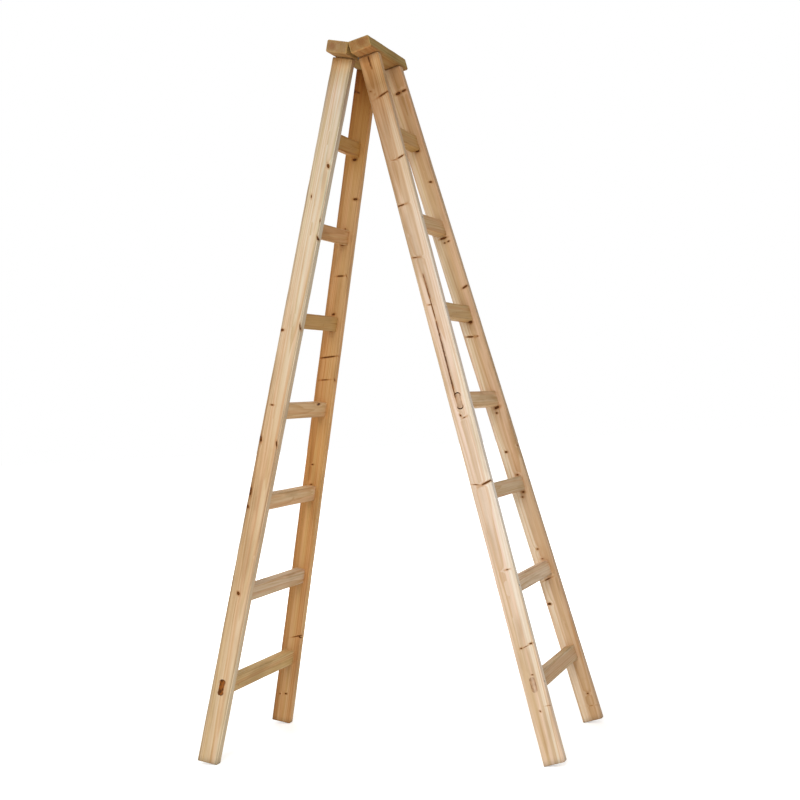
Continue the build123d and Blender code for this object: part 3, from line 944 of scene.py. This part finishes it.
# Stain on the near tenon ends that have any, inside and at their edges.
RUNG_STAINS = {(-1, 7): (1.0, 1.0), (1, 7): (0.15, 0.6), (1, 4): (0.18, 0.3)}

# The caps' colours: all over, on the underside at places along it, at the ends, and where their hearts lie.
# The underside's colours are browner and hold painted shade, darker towards the back.
CAP_TINTS = {-1: "#B08F58", 1: "#AF955F"}
CAP_UNDERSIDE_SHADES = {
    -1: ((70, "#AE885A"), (200, "#A88851")),
    1: ((70, "#BD905C"), (200, "#B69259"), (330, "#AB8452"))}
CAP_ENDS = {-1: "#F9FFFA", 1: "#F8E7C9"}
CAP_HEARTS = {-1: (8.0, 0.5), 1: (18.0, 4.0)}

# Seeds of each half's rungs, one step apart, and of its cap.
HALF_SEEDS = {-1: 100, 1: 200}
RUNG_SEED_STEP = 7
CAP_SEED = 80

for (side, end), look in STILES.items():
    make_stile(side, end, look, front_split if (side, end) == (1, -1) else None, stile_pine)
for side, half_seed in HALF_SEEDS.items():
    for number in range(1, RUNG_COUNT + 1):
        make_rung(side, number, half_seed + RUNG_SEED_STEP * number, rung_pine)
    make_cap(side, half_seed + CAP_SEED, cap_pine)

for name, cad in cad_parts.items():
    if "hinge" in name or "nails" in name or "screws" in name:
        for slot in cad.material_slots:
            slot.material = hinge_steel if name.endswith(("leaf", "pin")) else nail_steel


def seen_rays(tree):
    """1 for rays from the camera and for those that mirrors and glass pass on, 0 for the light itself."""
    seen = node(tree, "LightPath", out="Is Camera Ray")
    for kind in ("Is Glossy Ray", "Is Transmission Ray"):
        other = node(tree, "LightPath", out=kind)
        seen = node(tree, "Math", {0: seen, 1: other}, operation="MAXIMUM")
    return seen


# The studio, in metres: the paper's reach and its fade to white, the light, and the camera's limits.
FLOOR_REACH = 40.0
FLOOR_FADE = 0.8, 2.4
FLOOR_WHITE = 0.46, 1.0
AMBIENT = 0.42
LAMP_TARGET = 0.0, 0.0, 1.1
SENSOR_MM = 36.0
VIEW_REACH = 100.0


def floor_material():
    """Matt white studio paper: it shows soft shadows near the ladder and fades into the white backdrop."""
    made, tree = new_material("matt_white_paper")
    place = node(tree, "TexCoord", out="Object")
    away = node(tree, "VectorMath", {0: place}, out="Value", operation="LENGTH")
    fade = node(tree, "MapRange", {
        0: away, 1: FLOOR_FADE[0], 2: FLOOR_FADE[1], 3: FLOOR_WHITE[0], 4: FLOOR_WHITE[1]},
        interpolation_type="SMOOTHSTEP")
    share = node(tree, "Math", {0: seen_rays(tree), 1: fade}, operation="MULTIPLY")
    paper = node(tree, "BsdfDiffuse", {"Color": linear("#FAFAF8")})
    white = node(tree, "Emission", {"Color": linear("#FFFFFF"), "Strength": share})
    mixed = node(tree, "AddShader", {0: paper, 1: white})
    node(tree, "OutputMaterial", {"Surface": mixed})
    return made


def make_floor():
    """A flat square of paper under the feet, far larger than the view."""
    corners = [(x * FLOOR_REACH, y * FLOOR_REACH, 0) for x, y in ((-1, -1), (1, -1), (1, 1), (-1, 1))]
    mesh = bpy.data.meshes.new("floor")
    mesh.from_pydata(corners, [], [(0, 1, 2, 3)])
    mesh.materials.append(floor_material())
    made = bpy.data.objects.new("floor", mesh)
    bpy.context.scene.collection.objects.link(made)


def make_world():
    """White backdrop for the camera, and an even soft light on the ladder."""
    world = bpy.data.worlds.new("studio")
    world.use_nodes = True
    tree = world.node_tree
    tree.nodes.clear()
    light = node(tree, "Background", {"Color": linear("#FFFFFF"), "Strength": AMBIENT})
    white = node(tree, "Background", {"Color": linear("#FFFFFF"), "Strength": 1.0})
    mixed = node(tree, "MixShader", {0: seen_rays(tree), 1: light, 2: white})
    node(tree, "OutputWorld", {"Surface": mixed})
    bpy.context.scene.world = world


def make_lamp(name, place, size, power, shine):
    """A square soft lamp at a place, facing the ladder, which shows in glossy surfaces or not."""
    data = bpy.data.lights.new(name, "AREA")
    data.size = size
    data.energy = power
    lamp = bpy.data.objects.new(name, data)
    lamp.location = place
    lamp.visible_glossy = shine
    lamp.rotation_euler = (Vector(LAMP_TARGET) - Vector(place)).to_track_quat("-Z", "Y").to_euler()
    bpy.context.scene.collection.objects.link(lamp)


def make_camera():
    """The photograph's viewpoint."""
    right, up, forward = view_axes()
    data = bpy.data.cameras.new("camera")
    data.sensor_width = SENSOR_MM
    data.lens = SENSOR_MM * LENS_PX / IMAGE
    data.clip_end = VIEW_REACH
    camera = bpy.data.objects.new("camera", data)
    turn = Matrix([list(right), list(up), list(-forward)]).transposed().to_4x4()
    camera.matrix_world = Matrix.Translation(Vector(CAMERA_MM * MM)) @ turn
    bpy.context.scene.collection.objects.link(camera)
    bpy.context.scene.camera = camera


make_floor()
make_world()
make_lamp("key", place=(0.3, -6.9, 3.6), size=3.6, power=385.0, shine=True)
make_lamp("back", place=(-3.4, 6.2, 3.2), size=3.0, power=170.0, shine=False)
make_camera()
bpy.context.scene.view_settings.view_transform = "Standard"
